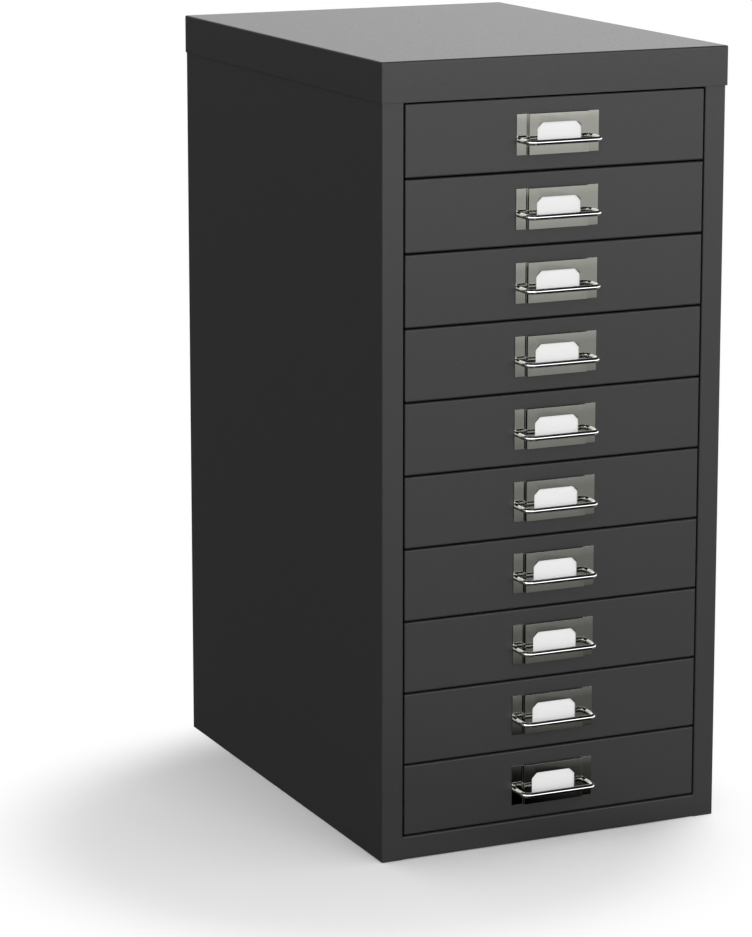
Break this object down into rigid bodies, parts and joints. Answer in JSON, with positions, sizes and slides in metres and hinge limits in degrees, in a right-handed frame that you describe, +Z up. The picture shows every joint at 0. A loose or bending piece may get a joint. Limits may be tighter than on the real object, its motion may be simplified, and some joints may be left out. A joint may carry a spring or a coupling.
{
  "type": "drawer cabinet",
  "caption": "Tall narrow folded-steel cabinet of shallow drawers in channel runners, each with a chromed label holder and wire pull, under a skirted top cover.",
  "frame": {"origin": "on the floor, under the middle of the whole part with its wire pulls", "axes": "+X to the right seen from the front, +Y to the back, +Z up; the drawers open towards -Y"},
  "size_m": [0.28, 0.3944, 0.59],
  "materials": {
    "body_paint": "satin dark grey powder paint",
    "inner_paint": "satin dark grey paint, inside",
    "runner_zinc": "plain zinc-coated steel",
    "chrome": "bright chrome plate",
    "card": "blank white card"
  },
  "bodies": {
    "cabinet": {"cover": "body_paint", "left_side_panel": "body_paint", "right_side_panel": "body_paint", "back_panel": "body_paint", "base_pan": "body_paint", "header_rail": "body_paint", "left_runner_plate": "inner_paint", "right_runner_plate": "inner_paint", "left_runners": "runner_zinc", "right_runners": "runner_zinc"},
    "drawer_01": {"drawer_tray_01": "inner_paint", "drawer_front_01": "body_paint", "label_holder_01": "chrome", "label_card_01": "card", "pull_wire_01": "chrome"},
    "drawer_02": {"drawer_tray_02": "inner_paint", "drawer_front_02": "body_paint", "label_holder_02": "chrome", "label_card_02": "card", "pull_wire_02": "chrome"},
    "drawer_03": {"drawer_tray_03": "inner_paint", "drawer_front_03": "body_paint", "label_holder_03": "chrome", "label_card_03": "card", "pull_wire_03": "chrome"},
    "drawer_04": {"drawer_tray_04": "inner_paint", "drawer_front_04": "body_paint", "label_holder_04": "chrome", "label_card_04": "card", "pull_wire_04": "chrome"},
    "drawer_05": {"drawer_tray_05": "inner_paint", "drawer_front_05": "body_paint", "label_holder_05": "chrome", "label_card_05": "card", "pull_wire_05": "chrome"},
    "drawer_06": {"drawer_tray_06": "inner_paint", "drawer_front_06": "body_paint", "label_holder_06": "chrome", "label_card_06": "card", "pull_wire_06": "chrome"},
    "drawer_07": {"drawer_tray_07": "inner_paint", "drawer_front_07": "body_paint", "label_holder_07": "chrome", "label_card_07": "card", "pull_wire_07": "chrome"},
    "drawer_08": {"drawer_tray_08": "inner_paint", "drawer_front_08": "body_paint", "label_holder_08": "chrome", "label_card_08": "card", "pull_wire_08": "chrome"},
    "drawer_09": {"drawer_tray_09": "inner_paint", "drawer_front_09": "body_paint", "label_holder_09": "chrome", "label_card_09": "card", "pull_wire_09": "chrome"},
    "drawer_10": {"drawer_tray_10": "inner_paint", "drawer_front_10": "body_paint", "label_holder_10": "chrome", "label_card_10": "card", "pull_wire_10": "chrome"}
  },
  "joints": [
    {"name": "drawer_01_slide", "type": "slide", "parent": "cabinet", "child": "drawer_01", "axis": [0, -1, 0], "range_m": [0, 0.29]},
    {"name": "drawer_02_slide", "type": "slide", "parent": "cabinet", "child": "drawer_02", "axis": [0, -1, 0], "range_m": [0, 0.29]},
    {"name": "drawer_03_slide", "type": "slide", "parent": "cabinet", "child": "drawer_03", "axis": [0, -1, 0], "range_m": [0, 0.29]},
    {"name": "drawer_04_slide", "type": "slide", "parent": "cabinet", "child": "drawer_04", "axis": [0, -1, 0], "range_m": [0, 0.29]},
    {"name": "drawer_05_slide", "type": "slide", "parent": "cabinet", "child": "drawer_05", "axis": [0, -1, 0], "range_m": [0, 0.29]},
    {"name": "drawer_06_slide", "type": "slide", "parent": "cabinet", "child": "drawer_06", "axis": [0, -1, 0], "range_m": [0, 0.29]},
    {"name": "drawer_07_slide", "type": "slide", "parent": "cabinet", "child": "drawer_07", "axis": [0, -1, 0], "range_m": [0, 0.29]},
    {"name": "drawer_08_slide", "type": "slide", "parent": "cabinet", "child": "drawer_08", "axis": [0, -1, 0], "range_m": [0, 0.29]},
    {"name": "drawer_09_slide", "type": "slide", "parent": "cabinet", "child": "drawer_09", "axis": [0, -1, 0], "range_m": [0, 0.29]},
    {"name": "drawer_10_slide", "type": "slide", "parent": "cabinet", "child": "drawer_10", "axis": [0, -1, 0], "range_m": [0, 0.29]}
  ]
}
